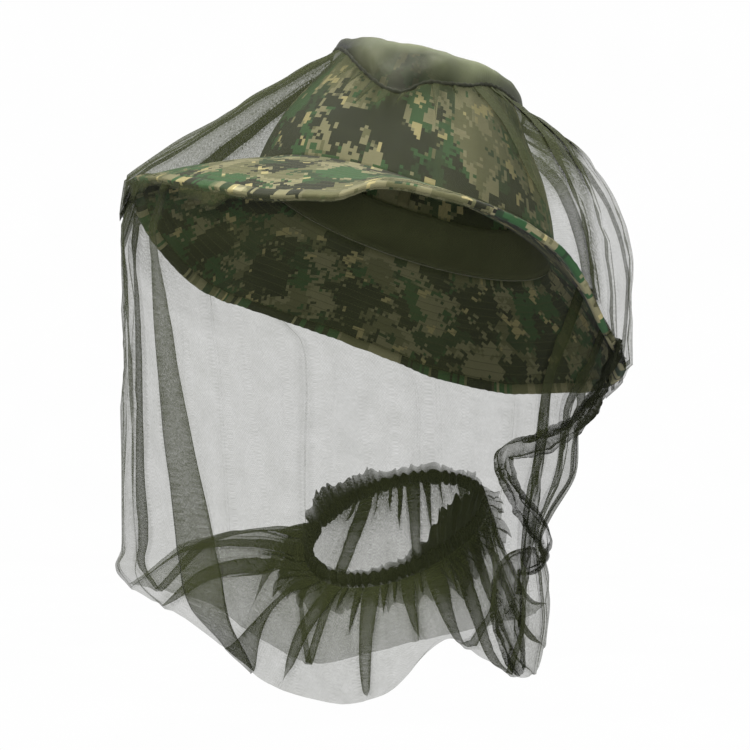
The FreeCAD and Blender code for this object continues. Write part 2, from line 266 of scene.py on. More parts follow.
class Paint:
    """Builds a node material."""

    def __init__(self, name):
        self.material = bpy.data.materials.new(name)
        self.material.use_nodes = True
        self.tree = self.material.node_tree
        self.tree.nodes.clear()
        out = self.tree.nodes.new("ShaderNodeOutputMaterial")
        self.shader = self.tree.nodes.new("ShaderNodeBsdfPrincipled")
        self.tree.links.new(self.shader.outputs[0], out.inputs[0])

    def put(self, socket, value):
        if isinstance(value, bpy.types.NodeSocket):
            self.tree.links.new(value, socket)
        else:
            socket.default_value = value

    def set(self, **values):
        for key, value in values.items():
            self.put(self.shader.inputs[key.replace("_", " ")], value)
        return self

    def node(self, kind, out=0, inputs=None, **settings):  # out is an output's number or name
        node = self.tree.nodes.new("ShaderNode" + kind)
        for key, value in settings.items():
            setattr(node, key, value)
        for key, value in (inputs or {}).items():
            self.put(node.inputs[key], value)
        return node.outputs[out]

    def attribute(self, name, out="Vector"):
        return self.node("Attribute", out, attribute_name=name)

    def math(self, operation, a, b=0.0, c=0.0, clamp=False):
        return self.node("Math", 0, {0: a, 1: b, 2: c}, operation=operation, use_clamp=clamp)

    def vector(self, operation, a, b):
        return self.node("VectorMath", 0, {0: a, 1: b}, operation=operation)

    def split(self, vector):
        """The first two coordinates of a vector."""
        return self.node("SeparateXYZ", 0, {0: vector}).node.outputs[:2]

    def noise(self, vector, scale, detail=2.0, roughness=0.5):
        return self.node("TexNoise", 0, {"Vector": vector, "Scale": scale, "Detail": detail, "Roughness": roughness})

    def mix(self, factor, a, b):
        return self.node("Mix", 2, {0: factor, 6: a, 7: b}, data_type="RGBA")

    def step(self, value, low, high):
        """0 below low, 1 above high."""
        return self.node("MapRange", 0, {0: value, 1: low, 2: high, 3: 0.0, 4: 1.0})

    def scaled(self, value, low, high):
        """0 to 1 turned into low to high."""
        return self.node("MapRange", 0, {0: value, 1: 0.0, 2: 1.0, 3: low, 4: high})

    def bump(self, height, strength, distance):
        return self.set(Normal=self.node("Bump", 0, {"Height": height, "Strength": strength, "Distance": distance}))


def srgb(r, g, b):
    return tuple(((c / 255 + 0.055) / 1.055) ** 2.4 if c > 10 else c / 255 / 12.92 for c in (r, g, b)) + (1.0,)


def shaded(colour, share):
    return tuple(c * share for c in colour[:3]) + (1.0,)


def weave_height(p, cut, pitch):
    """Plain weave: threads over and under, as a height."""
    x, y = p.split(cut)
    across = p.math("SINE", p.math("MULTIPLY", x, 2 * pi / pitch))
    along = p.math("SINE", p.math("MULTIPLY", y, 2 * pi / pitch))
    return p.math("MULTIPLY", across, along)


def camo_material(name, shade=1.0, stretch=(1.0, 0.62, 1.0), stitched=False, seed=0.0, gloom=0.0):
    """Digital camouflage printed on cotton: square print cells in six inks. shade darkens every ink, as painted
    shade. gloom brings more of the dark inks.
    """
    p = Paint(name)
    cut = p.attribute("cut")
    snapped = p.vector("SNAP", p.vector("ADD", cut, (seed, seed * 0.7, 0)), (PRINT_CELL, PRINT_CELL, PRINT_CELL))
    print_at = p.vector("MULTIPLY", snapped, stretch)
    speckle = p.node("TexWhiteNoise", 0, {"Vector": snapped})
    ragged = p.math("MULTIPLY_ADD", speckle, 0.05, -0.025)

    def patch(offset, scale, low, detail=4.0):
        field = p.noise(p.vector("ADD", print_at, (offset, offset * 1.7, offset)), scale, detail, 0.62)
        return p.step(p.math("ADD", field, ragged), low - 0.002, low + 0.002)

    def ink(r, g, b):
        return shaded(srgb(r, g, b), shade)

    colour = p.mix(patch(3.1, 34, 0.51), ink(172, 165, 126), ink(132, 129, 92))
    colour = p.mix(patch(7.7, 25, 0.52), colour, ink(52, 102, 58))
    colour = p.mix(patch(1.3, 40, 0.58 - gloom), colour, ink(38, 68, 42))
    colour = p.mix(patch(5.9, 33, 0.558 - gloom), colour, ink(15, 17, 18))
    colour = p.mix(patch(9.2, 70, 0.65, 1.5), colour, ink(222, 206, 146))
    wear = p.noise(cut, 9, 4, 0.6)
    colour = p.mix(p.scaled(wear, 0.0, 0.16), colour, ink(150, 148, 126))
    height = weave_height(p, cut, COTTON_PITCH)
    if stitched:
        across, along = p.split(p.attribute("rows"))
        row = p.math("FRACT", p.math("DIVIDE", across, STITCH_ROWS))
        line = p.math("ABSOLUTE", p.math("SUBTRACT", row, 0.5))
        groove = p.step(line, 0.09, 0.0)
        dash = p.step(p.math("FRACT", p.math("DIVIDE", along, STITCH_LENGTH)), 0.22, 0.3)
        thread = p.math("MULTIPLY", groove, dash)
        # painted shade: the groove between stitch rows is darkened; the thread in it keeps its own colour
        colour = p.mix(p.math("MULTIPLY", groove, 0.55), colour, ink(34, 36, 26))
        colour = p.mix(p.math("MULTIPLY", thread, 0.35), colour, ink(150, 144, 108))
        height = p.math("ADD", p.math("MULTIPLY", height, 0.15), p.math("MULTIPLY", line, 1.6))
    p.set(Base_Color=colour, Roughness=p.scaled(wear, 0.78, 0.94), Sheen_Weight=0.15, Sheen_Roughness=0.5)
    p.set(Specular_IOR_Level=0.25)
    return p.bump(height, 0.5, 0.0004).material


def net_material(name, colour, opacity):
    """Fine mesh: see-through between its threads, closer where it is creased or gathered, and darker there as painted
    shade.
    """
    p = Paint(name)
    cut = p.attribute("cut")
    close = p.attribute("close", "Fac")
    mesh = weave_height(p, cut, NET_PITCH)
    cloudy = p.noise(cut, 60, 3, 0.6)
    grain = p.noise(cut, 620, 2, 0.7)
    alpha = p.math("ADD", p.math("MULTIPLY", mesh, 0.05), p.math("MULTIPLY_ADD", cloudy, 0.16, opacity - 0.18))
    alpha = p.math("MULTIPLY_ADD", grain, 0.20, alpha)
    threads = p.math("MULTIPLY_ADD", grain, 1.5, -0.17)
    alpha = p.math("ADD", alpha, p.math("MULTIPLY", close, threads), clamp=True)
    tone = p.mix(p.scaled(cloudy, 0.0, 0.5), colour, shaded(colour, 1.5))
    # painted shade: the net's colour is darkened where it is creased, gathered or drawn dark
    tone = p.mix(p.math("MULTIPLY", close, 0.5, clamp=True), tone, shaded(colour, 0.6))
    p.set(Base_Color=tone, Roughness=p.scaled(cloudy, 0.55, 0.75), Alpha=alpha, Sheen_Weight=0.05)
    p.set(Specular_IOR_Level=0.12)
    return p.bump(mesh, 0.3, 0.0002).material


def cloth_material(name, colour, pitch, roughness=0.85):
    """Woven cotton or tape of one colour, unevenly worn."""
    p = Paint(name)
    cut = p.attribute("cut")
    wear = p.noise(cut, 40, 4, 0.6)
    tone = p.mix(wear, shaded(colour, 0.75), shaded(colour, 1.25))
    mesh = weave_height(p, cut, pitch)
    p.set(Base_Color=tone, Roughness=p.scaled(wear, roughness - 0.06, roughness + 0.06), Sheen_Weight=0.1)
    p.set(Specular_IOR_Level=0.3)
    return p.bump(mesh, 0.45, 0.0003).material


def panel_material():
    """Close satin net, its colour carrying painted light: a painted highlight on its ridges, painted shade in its
    hollows, where it also lets what is under it show.
    """
    p = Paint("panel_satin_net")
    cut = p.attribute("cut")
    painted_light_and_cover = p.attribute("close", "Fac")
    streaks = p.noise(p.vector("MULTIPLY", cut, (60, 14, 1)), 1.0, 4, 0.65)
    mesh = weave_height(p, cut, COTTON_PITCH)
    # the lighter olive is a painted highlight and the near-black a painted shade
    tone = p.mix(streaks, srgb(112, 118, 86), srgb(150, 156, 120))
    tone = p.mix(painted_light_and_cover, srgb(22, 24, 14), tone)
    p.set(Base_Color=tone, Roughness=p.scaled(streaks, 0.34, 0.5), Sheen_Weight=0.05, Sheen_Roughness=0.35)
    p.set(Specular_IOR_Level=0.4, Specular_Tint=(0.86, 0.88, 0.62, 1))
    p.set(Alpha=p.math("ADD", p.math("MULTIPLY", mesh, 0.04), p.math("MULTIPLY_ADD", painted_light_and_cover, 0.18, 0.76)))
    return p.bump(p.math("ADD", mesh, p.math("MULTIPLY", streaks, 2.0)), 0.4, 0.0003).material


# the crown's inks are drawn at 0.84 of the brim top's and the brim underside's at 0.62: painted shade on the same
# print
CAMO = camo_material("camo_crown", shade=0.84, gloom=0.018)
CAMO_BRIM = camo_material("camo_brim", stretch=(1.0, 0.8, 1.0), stitched=True, seed=0.31)
CAMO_UNDER_PAINTED_SHADE = camo_material(
    "camo_brim_under_painted_shade", shade=0.62, gloom=0.03, stretch=(1.0, 0.8, 1.0), stitched=True, seed=0.77
)
TAPE = cloth_material("edge_tape_cotton", srgb(128, 122, 88), pitch=0.0012)
LINING = cloth_material("sweatband_cotton", srgb(84, 84, 62), pitch=0.0014)
CORE = cloth_material("interlining_cotton", srgb(214, 210, 196), pitch=0.0016)
NET = net_material("net_mesh", srgb(67, 72, 40), 0.25)
PANEL = panel_material()
# the gathered net is drawn darker than the open net: closer layers, and painted shade between them
GATHER = net_material("gathered_net", srgb(40, 43, 25), 0.42)
BINDING = cloth_material("seam_binding", srgb(48, 50, 34), pitch=0.001)
ELASTIC = cloth_material("neck_elastic_braid", srgb(34, 36, 28), pitch=0.0015, roughness=0.6)

# ---- hat pieces

TURN = linspace(0, 2 * pi, 289)[:-1]


def band(name, low, high, rows, inset, thickness, material, slot, *nodes):
    """A band of the crown's side between two heights, with soft dents in the cloth."""
    bearing, share = spread(TURN, linspace(low, high, rows) / CROWN_HEIGHT)
    r = crown_radius(bearing, share) - inset
    flat = spots(bearing, r, share * CROWN_HEIGHT)
    dent = wobble(flat * (1, 1, 0.5), 0.045, 3.0) * 0.0028 + wobble(flat * (1, 1, 0.35), 0.016, 5.0) * 0.0008
    r = r + dent * sin(unit(share) * pi) ** 0.7
    points = on_crown(bearing, r, share * CROWN_HEIGHT)
    cut = cut_points(bearing * CROWN_GIRTH, share * CROWN_HEIGHT)
    piece(name, points[::-1], material, slot, *nodes, thickness=thickness, cut=cut[::-1])


def crown_pieces():
    band("crown_side", 0.0, CROWN_HEIGHT, 44, 0.0, CLOTH, CAMO, "camo_cotton",
         "hat_crown_side_front", "hat_crown_side_back")
    band("sweatband", 0.0005, 0.032, 10, 0.0021, CLOTH, LINING, "hat_lining", "hat_sweatband")
    band("crown_seam_tape", 0.081, 0.091, 5, 0.0018, TAPE_CLOTH, TAPE, "edge_tape", "hat_crown_seam_tape")
    # the crown's top
    bearing, rings = spread(TURN[::2], linspace(0.02, 1, 22))
    r = oval(bearing, *TOP) * rings
    z = CROWN_HEIGHT + 0.0007 + TOP_RISE * (1 - rings**2)
    flat = spots(bearing, r, 0)
    z = z + wobble(flat, 0.03, 9.0) * 0.0018 * (1 - rings**4)
    piece("crown_top", on_crown(bearing, r, z), CAMO, "camo_cotton", "hat_crown_top",
          cap=True, thickness=CLOTH, offset=1.0, cut=flat)
    # the tapes inside the side seams
    half = 0.054
    for side, centre in (("left", pi / 2), ("right", 3 * pi / 2)):
        turn = linspace(centre - half, centre + half, 7)
        bearing, share = spread(turn, linspace(0.033, 0.080, 14) / CROWN_HEIGHT)
        r = crown_radius(bearing, share) - 0.0019 - 0.0007 * cos((bearing - centre) / half * pi / 2)
        points = on_crown(bearing, r, share * CROWN_HEIGHT)
        piece(f"side_seam_tape_{side}", points, TAPE, "edge_tape", f"hat_side_seam_tape_{side}",
              thickness=TAPE_CLOTH, close_u=False, cut=(bearing * 0.08, share * 0.09))


def brim_wave(flat, reach):
    """Small bends of the soft brim, growing towards its edge."""
    share = reach / BRIM_WIDTH
    return (wobble(flat, 0.05, 21.0) * 0.0016 + wobble(flat, 0.018, 23.0) * 0.0006) * share


def edge_wave(bearing):
    return brim_wave(spots(bearing, oval(bearing, *CROWN) + BRIM_WIDTH, 0), BRIM_WIDTH)


def brim_cloth(name, offset, trim, material, slot, node):
    """One cloth of the brim, turned up a little where it meets the crown."""
    bearing, reach = spread(TURN, linspace(0, BRIM_WIDTH - trim, 26))
    r, z = brim_points(bearing, reach, offset)
    flat = spots(bearing, oval(bearing, *CROWN) + reach, 0)
    z = z + brim_wave(flat, reach)
    r = np.concatenate([r[:1] - 0.0020, r])
    z = np.concatenate([z[:1] + 0.0030, z])
    flat, reach, bearing = (np.concatenate([x[:1], x]) for x in (flat, reach, bearing))
    piece(name, on_brim(bearing, r, z), material, slot, node, thickness=0.0006, offset=0.0,
          cut=flat, rows=(reach, BRIM_GIRTH * bearing))


def brim_pieces():
    brim_cloth("brim_upper", 0.0012, 0.0008, CAMO_BRIM, "camo_cotton", "hat_brim_upper")
    brim_cloth("brim_core", 0.0, 0.003, CORE, "stiffener", "hat_brim_stiffener")
    brim_cloth("brim_lower", -0.0012, 0.0008, CAMO_UNDER_PAINTED_SHADE, "hat_lining", "hat_brim_lower")
    # the edge tape: a soft U folded over the edge, as (reach, offset)
    profile = [(BRIM_WIDTH - 0.0066, -0.0020), (BRIM_WIDTH - 0.0035, -0.00225)]
    for step in linspace(-pi / 2, pi / 2, 9):
        profile.append((BRIM_WIDTH - 0.0008 + 0.0016 * cos(step), 0.0021 * sin(step)))
    profile += [(BRIM_WIDTH - 0.0035, 0.00225), (BRIM_WIDTH - 0.0066, 0.0020)]
    bearing, reach = spread(TURN, np.array([a for a, _ in profile]))
    bearing, offset = spread(TURN, np.array([b for _, b in profile]))
    r, z = brim_points(bearing, np.minimum(reach, BRIM_WIDTH), offset)
    r = r + np.maximum(reach - BRIM_WIDTH, 0)
    z = z + edge_wave(bearing) + 0.0002 * sin(bearing * 150)
    length = np.cumsum(np.abs(np.diff(offset[:, 0], prepend=offset[0, 0])))[:, None]
    piece("brim_edge_binding", on_brim(bearing, r, z), CAMO_BRIM, "edge_tape", "hat_brim_edge_binding",
          thickness=0.0005, offset=0.0, cut=(bearing * BRIM_GIRTH, length))


# ---- net: its smooth shape

UP = np.array((0, 0, 1.0))
NET_AXIS_Y = -0.005
SKIRT_FULL_Z = -0.207  # where the skirt is fullest, above its lowest ring
BEND = 0.10  # the share of the way down to there where the net bends over the brim's edge
COLLAR_AT = np.array([0.0, -0.004, -0.199])
COLLAR_RADIUS = 0.0655
COLLAR_CLOTH = 0.2  # metres of gathered cloth per radian round the collar
TILT_AXIS = Vector((cos(radians(67.0)), sin(radians(67.0)), 0))
COLLAR = np.array(Matrix.Rotation(radians(30.0), 3, TILT_AXIS))


def on_collar(bearing, radius, height):
    """Points of a level collar, put where the tilted collar is."""
    return spots(bearing, radius, height) @ COLLAR.T + COLLAR_AT


def quarter_oval(bearing, front, back, left, right):
    """An oval with its own reach to each side."""
    length = np.where(cos(bearing) > 0, front, back)
    width = np.where(sin(bearing) > 0, left, right)
    return oval(bearing, width, length)


PANEL_EDGE = (TOP[0] + 0.005, TOP[1] + 0.005)

# the net's lowest ring, as (bearing, radius) and (bearing, height)
LOW_RADIUS = ((0, 0.172), (30, 0.150), (60, 0.132), (85, 0.120), (108, 0.108), (125, 0.104), (140, 0.104),
              (158, 0.100), (180, 0.098), (210, 0.100), (240, 0.112), (270, 0.120), (300, 0.130), (330, 0.150))
LOW_HEIGHT = ((0, -0.236), (30, -0.250), (60, -0.288), (85, -0.290), (108, -0.254), (125, -0.276), (140, -0.286),
              (158, -0.276), (180, -0.250), (210, -0.262), (240, -0.275), (270, -0.290), (300, -0.300), (330, -0.256))
# how far below the crown's top the panel's seam hangs
SEAM_DROP = ((0, 0.003), (18, 0.003), (35, 0.012), (52, 0.026), (66, 0.036), (76, 0.036), (86, 0.024), (98, 0.019),
             (112, 0.013), (128, 0.004), (150, 0.002), (180, 0.002), (240, 0.004), (300, 0.004), (340, 0.003))


def seam_radius(bearing, drop):
    """How far out the seam between panel and net lies, at its drop below the crown's top."""
    return np.maximum(crown_radius(bearing, 1 - drop / CROWN_HEIGHT) + 0.0026, oval(bearing, *PANEL_EDGE))


def seam_ring(bearing):
    drop = stations(SEAM_DROP, bearing)
    return on_crown(bearing, seam_radius(bearing, drop) + 0.0012, CROWN_HEIGHT - drop)


def brim_ring(bearing):
    r, z = brim_points(bearing, BRIM_WIDTH)
    return on_brim(bearing, r + 0.0036, z + edge_wave(bearing) + 0.0012)


def low_ring(bearing):
    return spots(bearing, stations(LOW_RADIUS, bearing), stations(LOW_HEIGHT, bearing), NET_AXIS_Y)


def collar_squeeze(bearing):
    """The collar lies narrower across its low corner than along it."""
    along = cos(bearing - radians(130))
    return 1 - 0.26 * unit(along) ** 2 - 0.12 * unit(-along) ** 2


def collar_ring(bearing):
    return on_collar(bearing, COLLAR_RADIUS * collar_squeeze(bearing), -0.004)


def through(rings, knots, v):
    """The ring at v on a smooth path through rings at the knots."""
    k = int(np.clip(np.searchsorted(knots, v, side="right") - 1, 0, len(knots) - 2))
    step = knots[k + 1] - knots[k]

    def slope(i):
        a, b = max(i - 1, 0), min(i + 1, len(knots) - 1)
        return (rings[b] - rings[a]) / (knots[b] - knots[a])

    return hermite((v - knots[k]) / step, rings[k], step * slope(k), rings[k + 1], step * slope(k + 1))


def upper_base(bearing, v):
    top, edge = seam_ring(bearing), brim_ring(bearing)
    behind = unit(-cos(bearing))[..., None] ** 2
    out = direction((edge - top) * (1, 1, 0))
    billow = out * (0.002 + 0.022 * behind) + UP * (0.001 + 0.022 * behind)
    rings = [top, top * 0.66 + edge * 0.34 + billow, top * 0.3 + edge * 0.7 + billow, edge]
    return through(rings, [0, 0.36, 0.72, 1.0], v)


def skirt_base(bearing, v):
    edge, low = brim_ring(bearing), low_ring(bearing)
    rings = [edge]
    # share of the way down, then how far the net reaches to the front, back, left and right
    for share, radii in (
        (BEND, (0.1775, 0.132, 0.158, 0.152)),
        (0.32, (0.1765, 0.119, 0.152, 0.147)),
        (0.62, (0.176, 0.113, 0.146, 0.142)),
        (0.86, (0.176, 0.099, 0.141, 0.138)),
        (1.00, (0.176, 0.095, 0.139, 0.136)),
    ):
        ring = spots(bearing, quarter_oval(bearing, *radii), 0.0, NET_AXIS_Y)
        ring[..., 2] = edge[..., 2] + (SKIRT_FULL_Z - edge[..., 2]) * share
        if share == BEND:
            ring[..., :2] = edge[..., :2] * 0.25 + ring[..., :2] * 0.75
        rings.append(ring)
    full = rings[-1]
    bulge = low + (full - low) * (1, 1, 0) * 0.78
    bulge[..., 2] = full[..., 2] * 0.42 + low[..., 2] * 0.58
    bulge += direction(full * (1, 1, 0)) * 0.004
    rings += [bulge, low]
    return through(rings, [0, 0.07, 0.22, 0.42, 0.58, 0.68, 0.86, 1.0], v)


def pouch_base(bearing, v):
    low, collar = low_ring(bearing), collar_ring(bearing)
    sag = (0.018 - 0.044 * unit(cos(bearing + radians(20))))[..., None] * UP
    rings = [low, low * 0.70 + collar * 0.30 - sag * 0.8, low * 0.33 + collar * 0.67 - sag * 0.6, collar]
    return through(rings, [0, 0.3, 0.68, 1.0], v)


# ---- net: folds laid into it

# v runs 0 to 1 from the crown seam to the brim's edge, to 2 at the lowest ring and to 3 at the collar.


def net_base(bearing, v):
    if v <= 1:
        return upper_base(bearing, v)
    if v <= 2:
        return skirt_base(bearing, v - 1)
    return pouch_base(bearing, v - 2)


# a fold's columns across it, from -1 to 1, and the two of them at its outer edges
WIDE = ((-1, -0.93, -0.35, 0.35, 0.96, 1, 0.88, 0.35, -0.35, -0.96, -1, -0.88, -0.35, 0.35, 0.93, 1), 5, 10)
NARROW = ((-1, -0.12, 1, 0.2, -1, 0.08, 1), 2, 4)
NET_ROWS = np.concatenate([linspace(0, 1, 41)[:-1], linspace(1, 2, 67)[:-1], linspace(2, 3, 47)])
BRIM_ROW = 40
LOW_ROW = BRIM_ROW + 66
SPACING = 1.5  # degrees between columns
FOLD_HEIGHT = 0.0009
SETTLE_FRAMES = 24


def folded_net(folds):
    """The net as one grid. A fold is ([(v, bearing)], [(v, width)], wide?) in degrees: inside it the net runs
    forward, back and forward again, so three layers lie there."""
    blur = 15
    weights = np.hanning(blur + 2)

    def along(table):
        """A table read at every row of the net, its corners rounded."""
        padded = np.pad(read(table, NET_ROWS), blur, mode="edge")
        return np.radians(np.convolve(padded, weights[1:-1] / weights.sum(), "same")[blur:-blur])

    folds = sorted(folds, key=midway)
    centres = np.array([along(f[0]) for f in folds])
    widths = np.maximum(np.array([along(f[1]) for f in folds]), radians(0.03))
    count = len(folds)
    gap = np.roll(centres, -1, 0) - centres
    gap[-1] += 2 * pi
    # overlapping neighbours are narrowed
    squeeze = unit(gap * 0.92 / ((widths + np.roll(widths, -1, 0)) / 2))
    widths *= np.minimum(squeeze, np.roll(squeeze, 1, 0))
    # where a fold is closed, its columns lie flat and evenly spaced
    wide = np.array([f[2] for f in folds])[:, None]
    shut = unit(widths / np.where(wide, radians(2.4), radians(1.6)))
    shut = shut * shut * (3 - 2 * shut)
    rest = np.minimum(np.where(wide, radians(1.6), radians(0.9)), 0.3 * np.minimum(gap, np.roll(gap, 1, 0)))
    reach = rest * (1 - shut) + widths / 2 * shut
    angle, lift, dark = [], [], []
    for k in range(count):
        shares, first, second = WIDE if wide[k] else NARROW
        for i, share in enumerate(shares):
            even = 2 * i / (len(shares) - 1) - 1
            angle.append(centres[k] + rest[k] * even * (1 - shut[k]) + widths[k] / 2 * share * shut[k])
            lift.append((i - first) / (second - first) * FOLD_HEIGHT * shut[k])
            # how dark each column is drawn, the fold's turning edges most and its inside less: it makes the net more
            # solid and darkens its colour as painted shade
            tone = 1.0 if i in (first, second) else 0.34 if first < i < second else 0.20
            dark.append(tone * shut[k] * (1.0 if wide[k] else 0.6))
        start = centres[k] + reach[k]
        end = centres[(k + 1) % count] - reach[(k + 1) % count] + (2 * pi if k == count - 1 else 0)
        steps = max(2, int(round(np.degrees(np.mean(end - start)) / SPACING)))
        for i in range(1, steps):
            angle.append(start + (end - start) * (i / steps))
            lift.append(0 * NET_ROWS)
            dark.append(0 * NET_ROWS)
    angle, lift, dark = (np.array(x).T for x in (angle, lift, dark))
    points = np.stack([net_base(row, v) for row, v in zip(angle, NET_ROWS)])
    # the layers are lifted along the smooth net's normals, read at whole degrees
    ring = linspace(0, 2 * pi, 361)[:-1]
    smooth = np.stack([net_base(ring, v) for v in NET_ROWS])
    normal = normals_of(smooth)[np.arange(len(NET_ROWS))[:, None], (np.round(np.degrees(angle)) % 360).astype(int)]
    normal *= np.sign((normal[:LOW_ROW, :, :2] * points[:LOW_ROW, :, :2]).sum(-1).mean())
    shape = np.clip(np.minimum(NET_ROWS, 3 - NET_ROWS) * 8, 0.3, 1)[:, None]
    points = points + normal * (lift * shape)[..., None]
    return points, normal, angle, dark


def settle(points, hold, slack):
    """Lets the net, a little too large for its place, wrinkle in Blender's cloth solver. Slack is 0 where it is
    nearly smooth and 1 where it is bunched. Only every second row and column is solved; the rest follows."""
    coarse = points[::2, ::2]
    obj = grid("net_settling", coarse)
    for name, values in (("hold", hold), ("slack", slack)):
        group = obj.vertex_groups.new(name=name)
        flat = np.round(values[::2, ::2].reshape(-1) / 0.02) * 0.02
        for level in np.unique(flat):
            group.add(np.nonzero(flat == level)[0].tolist(), float(level), "REPLACE")
    cloth = obj.modifiers.new("cloth", "CLOTH")
    c = cloth.settings
    c.mass = 0.02
    c.air_damping = 2.0
    c.tension_stiffness = c.compression_stiffness = 12
    c.shear_stiffness = 3
    c.bending_stiffness = 0.05
    c.bending_damping = 0.2
    c.vertex_group_mass = "hold"
    c.pin_stiffness = 1.2
    c.vertex_group_shrink = "slack"
    c.shrink_min, c.shrink_max = -0.02, -0.11
    c.effector_weights.gravity = 0.3
    cloth.collision_settings.use_collision = False
    cloth.point_cache.frame_start, cloth.point_cache.frame_end = 1, SETTLE_FRAMES
    scene.frame_start, scene.frame_end = 1, SETTLE_FRAMES
    for frame_number in range(1, SETTLE_FRAMES + 1):
        scene.frame_set(frame_number)
    apply_modifiers(obj)
    out = np.empty(coarse.size, np.float32)
    obj.data.vertices.foreach_get("co", out)
    scene.frame_set(1)
    bpy.data.objects.remove(obj)
    moved = out.reshape(coarse.shape) - coarse
    soft = moved.copy()
    for _ in range(4):
        soft[1:-1] = soft[1:-1] * 0.5 + (soft[:-2] + soft[2:]) * 0.25
        soft = soft * 0.5 + (np.roll(soft, 1, 1) + np.roll(soft, -1, 1)) * 0.25
    keep = np.clip(slack[::2, ::2], 0.12, 0.6)[..., None]
    moved = soft + (moved - soft) * keep
    full = np.empty_like(points)
    full[::2, ::2] = moved
    full[1::2, ::2] = (moved[:-1] + moved[1:]) / 2
    full[:, 1::2] = ((full[:, ::2] + np.roll(full[:, ::2], -1, 1)) / 2)[:, :points.shape[1] // 2]
    return points + full


def sharpness(points):
    """How tightly the net bends round at each point, 0 to 1."""
    n = normals_of(points)
    turn_u = np.linalg.norm(np.roll(n, -1, 1) - np.roll(n, 1, 1), axis=-1)
    step_u = np.linalg.norm(np.roll(points, -1, 1) - np.roll(points, 1, 1), axis=-1) + 0.0006
    return unit(turn_u / step_u * 0.0022) * unit((step_u - 0.0014) / 0.001)


def clear_of_hat(points):
    """Moves any point that is in the crown or under the brim's upper cloth just outside it."""
    level = points @ HAT
    lean = CROWN_LEAN / CROWN_HEIGHT * np.clip(level[..., 2], 0, CROWN_HEIGHT)
    level[..., 1] += lean
    x, y, z = np.moveaxis(level.copy(), -1, 0)
    bearing, r = np.arctan2(x, -y), np.hypot(x, y)
    least = crown_radius(bearing, z / CROWN_HEIGHT) + 0.0016
    inside = (z > 0.004) & (z < CROWN_HEIGHT + 0.002) & (r < least)
    scale = np.where(inside, least / np.maximum(r, 1e-6), 1.0)
    level[..., :2] *= scale[..., None]
    r = r * scale
    # the brim's upper cloth under each point, or -1 beyond the brim
    brim = [brim_points(bearing, reach, 0.0012) for reach in linspace(0, BRIM_WIDTH, 9)]
    floor = np.full(r.shape, -1.0)
    for (r0, z0), (r1, z1) in zip(brim, brim[1:]):
        t = (r - r0) / (r1 - r0)
        floor = np.where((t >= 0) & (t <= 1), z0 + (z1 - z0) * t, floor)
    low = (z < floor + 0.0016) & (z > floor - 0.03) & (floor > -0.9)
    level[..., 2] = np.where(low, floor + 0.0016, z)
    level[..., 1] -= lean
    return level @ HAT.T


